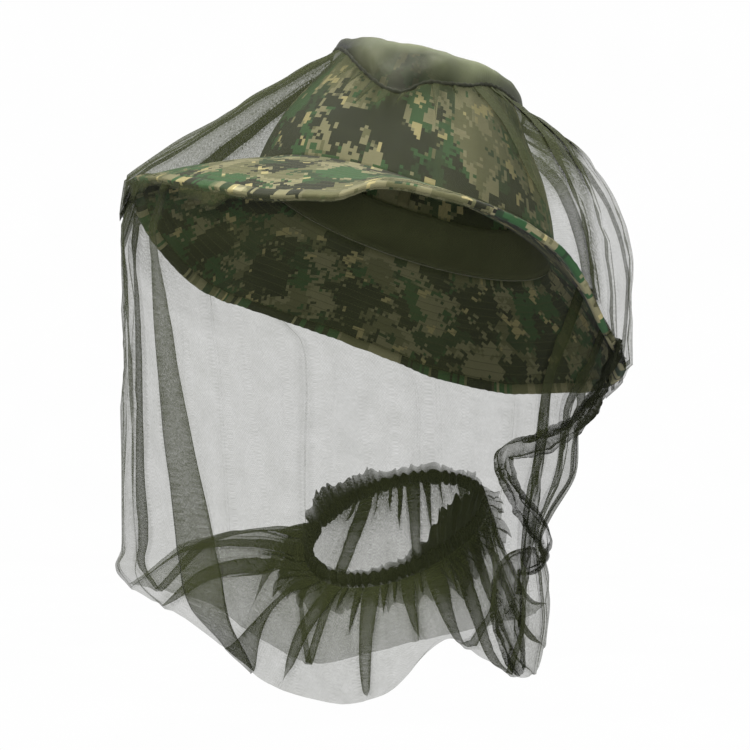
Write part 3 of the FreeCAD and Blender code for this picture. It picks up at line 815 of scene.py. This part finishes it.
# The long folds: where each lies, as (v, bearing), and how wide it is, as (v, width), both in degrees.
LONG_FOLDS = [
    ([(0, 2), (1, 2), (2, 5), (3, 1)],
     [(0, 6), (0.5, 5), (1, 3), (1.4, 3.5), (1.8, 3), (2, 1), (2.2, 3), (2.6, 8), (3, 14)]),
    ([(0, 12), (1, 9), (2, 22), (3, 18)],
     [(0, 6), (0.5, 4), (0.9, 2), (1.15, 2.4), (1.6, 1.5), (2, 1), (2.1, 3), (2.5, 8), (3, 15)]),
    ([(0, 24), (1, 27), (1.2, 30), (1.6, 38), (2, 47), (3, 33)],
     [(0.9, 0), (1.05, 1.5), (1.3, 6.5), (1.7, 12), (1.9, 11), (2.1, 6), (2.4, 2), (2.7, 2), (3, 10)]),
    ([(0, 44), (1, 44), (2, 58), (2.5, 52), (3, 48)],
     [(0, 3), (0.2, 0), (1.9, 0), (2.1, 1), (2.3, 2.4), (2.6, 4.5), (2.85, 6), (3, 9)]),
    ([(0, 68), (1, 70), (2, 82), (3, 70)], [(0, 4), (0.2, 0), (1.95, 0), (2.15, 1), (2.4, 3.2), (2.7, 6), (3, 11)]),
    ([(0, 92), (1, 96), (2, 104), (3, 92)], [(0, 4), (0.3, 1), (2.4, 0), (2.7, 3), (3, 10)]),
    ([(0, 118), (1, 122), (2, 116), (3, 113)],
     [(0, 6), (0.6, 3), (1, 0), (1.5, 1), (1.8, 2), (2.2, 3), (2.6, 8), (3, 17)]),
    ([(0, 136), (1, 138), (1.4, 132), (2, 131), (3, 136)],
     [(0, 9), (0.5, 4), (1, 3), (1.3, 6), (1.6, 4), (2, 3), (2.5, 6), (3, 15)]),
    ([(0, 152), (1, 151), (1.4, 146), (2, 145), (3, 154)],
     [(0, 10), (0.5, 2.5), (1, 3), (1.3, 6), (1.6, 3), (2, 1.2), (2.5, 2), (3, 12)]),
    ([(0, 168), (1, 166), (1.4, 162), (2, 161), (3, 170)],
     [(0, 9), (0.5, 2.5), (1, 3), (1.4, 3.5), (1.8, 1), (2, 0.8), (3, 8)]),
    ([(0, 186), (1, 184), (2, 182), (3, 188)], [(0, 7), (0.6, 2), (1, 2.5), (1.5, 2), (2, 0.8), (3, 7)]),
    ([(0, 204), (1, 203), (2, 200), (3, 206)], [(0, 6), (0.6, 4), (1, 3), (1.5, 2), (2, 0.8), (3, 6)]),
    ([(0, 228), (1, 230), (2, 226), (3, 226)], [(0, 5), (1, 0.5), (1.6, 0.5), (2.5, 2), (3, 8)]),
    ([(0, 262), (1, 264), (2, 262), (3, 258)], [(0, 5), (0.5, 1), (1.6, 0.5), (2.5, 2), (3, 9)]),
    ([(0, 296), (1, 294), (2, 298), (3, 288)], [(0, 5), (0.5, 2), (1.1, 1), (1.6, 1), (2.3, 3), (3, 10)]),
    ([(0, 322), (1, 320), (2, 318), (3, 318)],
     [(0, 6), (0.6, 4), (1.1, 0.5), (1.6, 0.6), (2.1, 0.8), (2.5, 4), (3, 10)]),
    ([(0, 346), (1, 350), (2, 345), (3, 342)],
     [(0, 7), (0.5, 5), (1, 3), (1.3, 4), (1.7, 5), (2.0, 2), (2.4, 6), (3, 12)]),
]
# The short folds at the crown seam and at the collar.
TOP_GATHER = [(0, 3.0), (0.1, 1.6), (0.28, 0)]
COLLAR_GATHER = [(2.62, 0), (2.8, 1.4), (2.92, 3.6), (3, 5.0)]
FOLD_STOPS = (0, 1, 1.2, 1.4, 1.6, 2, 3)


def midway(fold):
    """A fold's bearing half-way down the skirt."""
    return read(fold[0], 1.5)


def net_folds():
    """All folds as (bearings, widths, wide?): the long ones, then short ones evenly between them."""
    long = sorted(LONG_FOLDS, key=midway)
    made = [(bearings, widths, True) for bearings, widths in long]
    for i, one in enumerate(long):
        two = long[(i + 1) % len(long)]
        turn = 360 if i + 1 == len(long) else 0
        between = max(1, int((midway(two) + turn - midway(one)) / 10))
        for k in range(between):
            t = (k + 1 + rng.uniform(-0.2, 0.2)) / (between + 1)
            size, reach = rng.uniform(0.2, 1.2), rng.uniform(0.35, 1.15)
            widths = [(v * reach, w * size) for v, w in TOP_GATHER]
            widths += [(3 - (3 - v) * reach, w * size) for v, w in COLLAR_GATHER]
            bearings = []
            for v in FOLD_STOPS:
                a, b = read(one[0], v), read(two[0], v) + turn
                bearings.append((v, a + (b - a) * t))
            made.append((bearings, widths, False))
    return made


def hold_and_slack(v, turn, from_front):
    """How firmly the solver holds the net, and how much too large it is."""
    hold = 0.16 + 0.26 * unit((1.02 - v) * 12) + 0.06 * unit((v - 2) * 4)
    for sewn in (unit(1 - v / 0.05), unit(1 - (3 - v) / 0.05), 0.75 * near(v, 1, 0.03)):
        hold = np.maximum(hold, sewn)
    slack = unit((v - 2.3) * 1.8) + 0.8 * near(turn, 155, 26) * unit(v)
    slack = unit(slack + 0.35 * near(from_front, 0, 18) * unit((v - 0.9) * 5))
    return hold, slack


def closeness(points, dark, v, turn, from_front):
    """How dense the mesh looks, 0 to 1: in its folds, where it bends, and where more net than this lies. The same
    number darkens the net's colour as painted shade there.
    """
    x, y, z = points[..., 0], points[..., 1], points[..., 2]
    # the pouch under the collar's near back, and its front band
    denser_and_darker = near(turn, 124, 26) * unit((v - 2.6) / 0.3)
    denser_and_darker += 0.7 * unit(cos(np.radians(from_front + 12)) * 1.2) * unit((v - 2.05) / 0.8)
    # behind the crown, from the near side to the middle
    behind = near(y, 0.091, 0.014) * unit(z / 0.03) * unit((0.085 - z) / 0.02)
    denser_and_darker += 3.0 * behind * unit((x + 0.04) / 0.02) * unit(1 - v) ** 0.2
    # the collar's far side, and the crown seam's near back
    denser_and_darker += 0.5 * near(turn, 290, 60) * unit((v - 2.7) / 0.2)
    denser_and_darker += 1.1 * near(turn, 146, 26) * unit(1 - v / 0.34) ** 0.6
    # a dark band down the back's near side, as (height, y)
    band_y = read(((-0.110, 0.127), (-0.051, 0.114), (0.014, 0.109), (0.059, 0.105)), z)
    denser_and_darker += 1.1 * near(y, band_y, 0.0045) * unit(x / 0.01) * unit((1.05 - v) * 8)
    # the front above the brim, and the skirt's back and front
    denser_and_darker += 1.3 * near(from_front, -4, 34) * unit(1.1 - v) ** 0.4
    denser_and_darker += 0.40 * near(turn, 163, 26) * unit((v - 1) * 8) * unit((2.6 - v) * 4)
    denser_and_darker += 0.30 * near(from_front, 2, 15) * unit((v - 0.9) * 8) * unit(2.4 - v)
    # the back between crown and brim is stretched thin
    thin = 0.55 * near(turn, 172, 38) * unit((1.02 - v) * 6) * unit(v / 0.1)
    folded = (1 - thin) * (dark + 0.45 * sharpness(points))
    return unit(folded + 0.3 * np.exp(-v / 0.06) + 0.6 * np.exp(-(3 - v) / 0.08) + 0.6 * denser_and_darker)


def net_pieces():
    points, normal, angle, dark = folded_net(net_folds())
    rumple = wobble(points * (1, 1, 0.4), 0.040, 31.0) * 0.0020
    shape = unit(np.minimum(NET_ROWS, 3 - NET_ROWS) * 3)[:, None] ** 0.8
    points = points + normal * (rumple * shape)[..., None]
    v = NET_ROWS[:, None] + 0 * angle
    turn = np.degrees(angle) % 360
    from_front = (turn + 180) % 360 - 180
    points = settle(points, *hold_and_slack(v, turn, from_front))
    points = clear_of_hat(points)
    close = closeness(points, dark, v, turn, from_front)
    # the flat net: its girth below the brim, and its mean length down
    across = np.cumsum(np.linalg.norm(np.roll(points, -1, 1) - points, axis=-1), 1)
    down = np.cumsum(np.linalg.norm(np.diff(points, axis=0, prepend=points[:1]), axis=-1).mean(1))
    cut = cut_points(across[BRIM_ROW + 20], down[:, None])
    skirt, pouch = (
        paint(grid(name, points[rows], cut=cut[rows], close=close[rows]), NET)
        for name, rows in (("net_crown_and_skirt", slice(0, LOW_ROW + 1)), ("net_pouch", slice(LOW_ROW, None)))
    )
    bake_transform(skirt)
    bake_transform(pouch)
    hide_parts("veil_net_front_upper", "veil_net_back_upper", "veil_net_front_skirt", "veil_net_back_skirt")
    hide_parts("veil_net_front_pouch", "veil_net_back_pouch")
    return skirt, pouch


FLAT_TO = 0.62  # the share of the panel's rows that lie on the crown's top


def crown_panel():
    """The closer net on the crown's top, hanging over its edge, and the seam that joins it to the net."""
    bearing, rows = spread(TURN, np.concatenate([linspace(0.02, FLAT_TO, 26)[:-1], linspace(FLAT_TO, 1, 30)]))
    over = unit(rows / FLAT_TO)
    hang = unit((rows - FLAT_TO) / 0.38)
    drop = stations(SEAM_DROP, bearing)
    r_top = oval(bearing, *TOP) + 0.0030
    r_low = seam_radius(bearing, drop) + 0.0006
    r = r_top * over + (r_low - r_top) * hang**0.8
    flat = spots(bearing, r, 0)
    puff = wobble(spots(bearing, r, -hang * drop) * (1, 1, 0.6), 0.030, 51.0, 3)
    left_side = unit(sin(bearing))
    soft = sin(unit(rows * 1.02) * pi) ** 0.6
    turn = np.degrees(bearing)
    z = CROWN_HEIGHT + 0.0034 + 0.0065 * (1 - over**2.2) - drop * hang**1.1 - 0.0018 * hang
    z = z + (0.0026 * puff + 0.0008) * soft
    z = z + 0.0040 * near((turn + 180) % 360, 190, 16) * over**3 * (1 - hang) ** 0.7
    z = z + 0.0050 * near(turn, 140, 40) * over**1.5 * (1 - hang) ** 0.7
    swell = 0.0048 * near(turn, 56, 9) + 0.0042 * near(turn, 97, 9)
    swell -= 0.0016 * near(turn, 77, 8)
    r = r + ((0.0022 * puff + 0.0018) * left_side + swell) * sin(unit(hang * 1.04) * pi) ** 0.8
    points = on_crown(bearing, r, z)
    # painted light on the panel: painted shade in the hollow by the seam and where it hangs over the crown's edge, a
    # painted highlight along its near side and on its puffed ridges
    hollow_shade = near(turn, 78, 16) * unit((rows - FLAT_TO) * 8)
    highlight_side = unit((flat[..., 1] + 0.058) / 0.030) * np.clip((0.058 - flat[..., 1]) / 0.02, 0.4, 1)
    painted_light_and_cover = (0.86 + 0.22 * puff) * (0.30 + 0.70 * highlight_side) - 0.75 * hollow_shade - 0.30 * hang
    painted_light_and_cover = unit(painted_light_and_cover)
    obj = piece("crown_panel", points, PANEL, "panel", "veil_crown_panel", cap=True,
                cut=(flat[..., 0], flat[..., 1] - hang * drop), close=painted_light_and_cover)
    # the seam between panel and net: a narrow rolled binding
    bearing, turns = spread(TURN, linspace(0, 2 * pi, 13)[:-1])
    pucker = 0.0004 * sin(bearing * 90) + 0.0002 * sin(bearing * 37)
    drop = stations(SEAM_DROP, bearing)
    r = seam_radius(bearing, drop) + 0.0006 + (0.0009 + pucker) * cos(turns)
    z = CROWN_HEIGHT - drop + 0.0012 + (0.0014 + pucker) * sin(turns)
    points = on_crown(bearing, r, z)
    piece("crown_seam_binding", points[::-1], BINDING, "gathers", "veil_crown_seam_binding",
          close_v=True, cut=(bearing * 0.06, turns * 0.001))
    return obj


def smooth_path(stops, count):
    """A smooth path through a few stops (rows of numbers)."""
    stops = np.array(stops, float)
    stops = np.concatenate([2 * stops[:1] - stops[1:2], stops, 2 * stops[-1:] - stops[-2:-1]])
    t = linspace(0, len(stops) - 3 - 1e-6, count)
    i = t.astype(int)
    f = (t - i)[:, None]
    a, b, c, d = stops[i], stops[i + 1], stops[i + 2], stops[i + 3]
    return 0.5 * (2 * b + (c - a) * f + (2 * a - 5 * b + 4 * c - d) * f**2 + (3 * b - a - 3 * c + d) * f**3)


def twisted_strip(name, stops, seed, close, rows=150):
    """A crumpled strip of net along a path. A stop is (x, y, z, width, twist in degrees), in metres."""
    path = smooth_path(stops, rows)
    at, width, twist = path[:, :3], path[:, 3], np.radians(path[:, 4])
    along = direction(np.gradient(at, axis=0))
    out = at * (1, 1, 0) - (0, NET_AXIS_Y, 0)
    out = direction(out - along * (out * along).sum(-1, keepdims=True))
    side = np.cross(along, out)
    a = linspace(0, 1, 31)[None, :]
    # across the strip: rolled in at both sides, creased between
    roll = (a - 0.5) * 2
    u = np.sign(roll) * np.abs(roll) ** 0.8 * (1 - 0.25 * roll**2)
    w = 0.30 * sin(roll * 2.6) + 0.16 * sin(a * 17 + seed) + 0.25 * roll**2
    u = u + 0.10 * sin(a * 23 + seed * 2)
    length = np.concatenate([[0], np.cumsum(np.linalg.norm(np.diff(at, axis=0), axis=-1))])[:, None]
    crush = wobble(cut_points(a * 0.02, length * 0.35), 0.005, seed, 3)
    w = w + 0.35 * crush
    across = side * cos(twist)[:, None] + out * sin(twist)[:, None]
    depth = out * cos(twist)[:, None] - side * sin(twist)[:, None]
    half = width[:, None, None] / 2
    points = at[:, None] + (across[:, None] * u[..., None] + depth[:, None] * w[..., None]) * half
    shade = unit(close + 0.7 * crush + 0.45 * np.abs(roll) ** 4 + 0.2 * sin(a * 17 + seed))
    obj = grid(name, points, close_u=False, cut=(a * 0.03, length), close=shade)
    return paint(obj, GATHER)


def side_seams():
    left = twisted_strip("side_seam_left", [
        (0.070, 0.130, -0.078, 0.020, 0), (0.072, 0.122, -0.103, 0.026, 20), (0.086, 0.104, -0.128, 0.020, 60),
        (0.098, 0.084, -0.139, 0.022, 100), (0.105, 0.062, -0.146, 0.013, 140), (0.105, 0.060, -0.155, 0.020, 190),
        (0.099, 0.070, -0.178, 0.024, 190), (0.090, 0.084, -0.198, 0.017, 165), (0.087, 0.084, -0.212, 0.024, 200),
        (0.084, 0.066, -0.217, 0.021, 165), (0.083, 0.062, -0.234, 0.026, 150), (0.080, 0.066, -0.262, 0.030, 170),
        (0.076, 0.072, -0.283, 0.016, 180),
    ], 3.0, 0.30, 300)
    right = twisted_strip("side_seam_right", [
        (-0.078, 0.112, -0.050, 0.006, 0), (-0.078, 0.100, -0.100, 0.007, 10), (-0.076, 0.094, -0.150, 0.008, 30),
        (-0.074, 0.088, -0.200, 0.008, 10), (-0.068, 0.080, -0.250, 0.009, -10),
    ], 5.0, 0.4)
    for name, obj in (("left", left), ("right", right)):
        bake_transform(obj)
        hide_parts(f"veil_side_seam_{name}")
    return left, right


def collar_pieces():
    turn = linspace(0, 2 * pi, 1441)[:-1]
    phase = turn * 61 + 2.1 * sin(turn * 5) + 1.4 * sin(turn * 11 + 1) + 0.8 * sin(turn * 23)
    uneven = 0.55 + 0.6 * np.abs(wobble(spots(turn, 0.06, 0.0)[None], 0.018, 71.0)[0]) * 1.8
    squeeze = collar_squeeze(turn)

    def heap(middle, width):
        """Where the gathered net piles up on the collar, 0 to 1, around a bearing in degrees."""
        return near((np.degrees(turn) - middle + 180) % 360 - 180, 0, width)

    def ruffle(name, profile, amplitude, node, pile):
        """A gathered frill: profile is (radius, height) points, ruffled more towards its free edge."""
        t = linspace(0, 1, 13)[:, None]
        steps = linspace(0, 1, len(profile))
        r = np.interp(t, steps, [radius for radius, _ in profile])
        z = np.interp(t, steps, [height for _, height in profile])
        grow = t**0.7 * amplitude * (uneven * (1 + 0.35 * pile))
        length = 0.70 + 0.45 * uneven * (0.6 + 0.4 * sin(turn * 9 + 0.5))
        length = length * (1 + pile)
        crush = wobble(spots(turn, 0.06 + 0.02 * t, 0.01 * t), 0.006, 77.0) * t
        ring = (r[:1] + (r - r[:1]) * length + cos(phase * 0.5 + 1.0) * grow * 0.8) * squeeze
        height = z[:1] + (z - z[:1]) * length + sin(phase) * grow + crush * amplitude * 0.9
        points = on_collar(turn + sin(phase * 0.7) * 0.018 * t, ring, height)
        # more solid and darker towards the casing, in its folds and where the net piles up: closer net, and painted
        # shade in its gathers
        close = np.clip(0.80 - 0.95 * t + 0.25 * np.abs(sin(phase / 2)) + 0.5 * pile, 0, 1.5)
        return piece(name, points, GATHER, "gathers", node, body="collar",
                     cut=(turn * COLLAR_CLOTH, t * 0.02), close=close)

    skirt = ruffle("collar_skirt_frill_net", [(0.0625, -0.003), (0.070, -0.0075), (0.077, -0.0125)], 0.0022,
                   "collar_skirt_frill", 1.1 * heap(345, 50) + 0.8 * heap(130, 35))
    heading = ruffle("collar_heading_frill_net", [(0.0615, 0.003), (0.0625, 0.0060), (0.0640, 0.0090)], 0.0012,
                     "collar_heading_frill", 5.0 * heap(142, 30) + 1.5 * heap(318, 34))
    # the casing: a lumpy gathered tube with the elastic in it
    around = linspace(0, 2 * pi, 15)[:-1][:, None]
    lump = 0.0011 * sin(phase) + 0.0016 * (uneven - 0.8)
    r = (0.0622 + (0.0024 + lump) * cos(around)) * squeeze
    z = (0.0046 + lump) * sin(around)
    piece("collar_casing_net", on_collar(turn, r, z)[::-1], GATHER, "gathers", "collar_casing", body="collar",
          close_v=True, cut=(turn * COLLAR_CLOTH, around * 0.003), close=np.full(r.shape, 0.9))
    r = (0.0620 + 0.0008 * cos(around)) * squeeze
    z = 0.0032 * sin(around)
    piece("elastic_braid", on_collar(turn, r, z)[::-1], ELASTIC, "elastic", "neck_elastic", body="collar",
          close_v=True, cut=(turn * 0.06, around * 0.002))
    return skirt, heading


crown_pieces()
brim_pieces()
panel = crown_panel()
net_skirt, net_pouch = net_pieces()
left_seam, right_seam = side_seams()
skirt_frill, heading_frill = collar_pieces()

# ---- stage, light, camera


def studio():
    """A white room that only the camera sees, and soft light from above."""
    turn = linspace(0, 2 * pi, 49)[:-1]
    outline = ((-0.62, 0.01), (-0.62, 5.0), (0.0, 6.0), (3.0, 6.0), (6.0, 3.0), (6.5, 0.01))
    floor = grid("studio_room", np.array([spots(turn, reach, height) for height, reach in outline]))
    p = Paint("studio_paper")
    grain = p.noise(p.node("TexCoord", "Object"), 4, 3)
    p.set(Base_Color=(0, 0, 0, 1), Roughness=1.0, Specular_IOR_Level=0.0, Emission_Strength=1.0)
    p.set(Emission_Color=p.mix(grain, (0.985, 0.985, 0.985, 1), (1, 1, 1, 1)))
    floor.data.materials.append(p.material)
    floor.visible_diffuse = floor.visible_glossy = floor.visible_shadow = False

    scene.world = bpy.data.worlds.new("studio")
    scene.world.use_nodes = True
    colour, strength = scene.world.node_tree.nodes["Background"].inputs[:2]
    colour.default_value, strength.default_value = (0.96, 0.98, 1.0, 1), 0.5

    def softbox(name, at, size, power, tint=(1, 1, 1)):
        light = bpy.data.lights.new(name, "AREA")
        light.shape = "RECTANGLE"
        light.size, light.size_y = size
        light.energy = power
        light.color = tint
        aim(place(name, light), at, (0, 0, 0))

    softbox("key", (1.0, -1.0, 1.5), (0.9, 0.7), 34, (1.0, 0.985, 0.96))
    softbox("fill", (1.6, 1.0, 0.6), (1.2, 1.2), 8, (0.97, 0.985, 1.0))
    softbox("top", (-0.3, 0.2, 1.7), (1.2, 0.8), 22)


def camera():
    """Looks at the wearer's left side; the picture is 0.4875 m wide at the veil."""
    distance, middle = 1.4, Vector((0.0, -0.0189, -0.1001))
    data = bpy.data.cameras.new("camera")
    data.sensor_width = 36.0
    data.lens = 36.0 * distance / 0.4875
    scene.camera = place("camera", data)
    aim(scene.camera, middle + Vector((distance, 0.0, 0.0)), middle)


studio()
camera()
scene.view_settings.view_transform = "Standard"
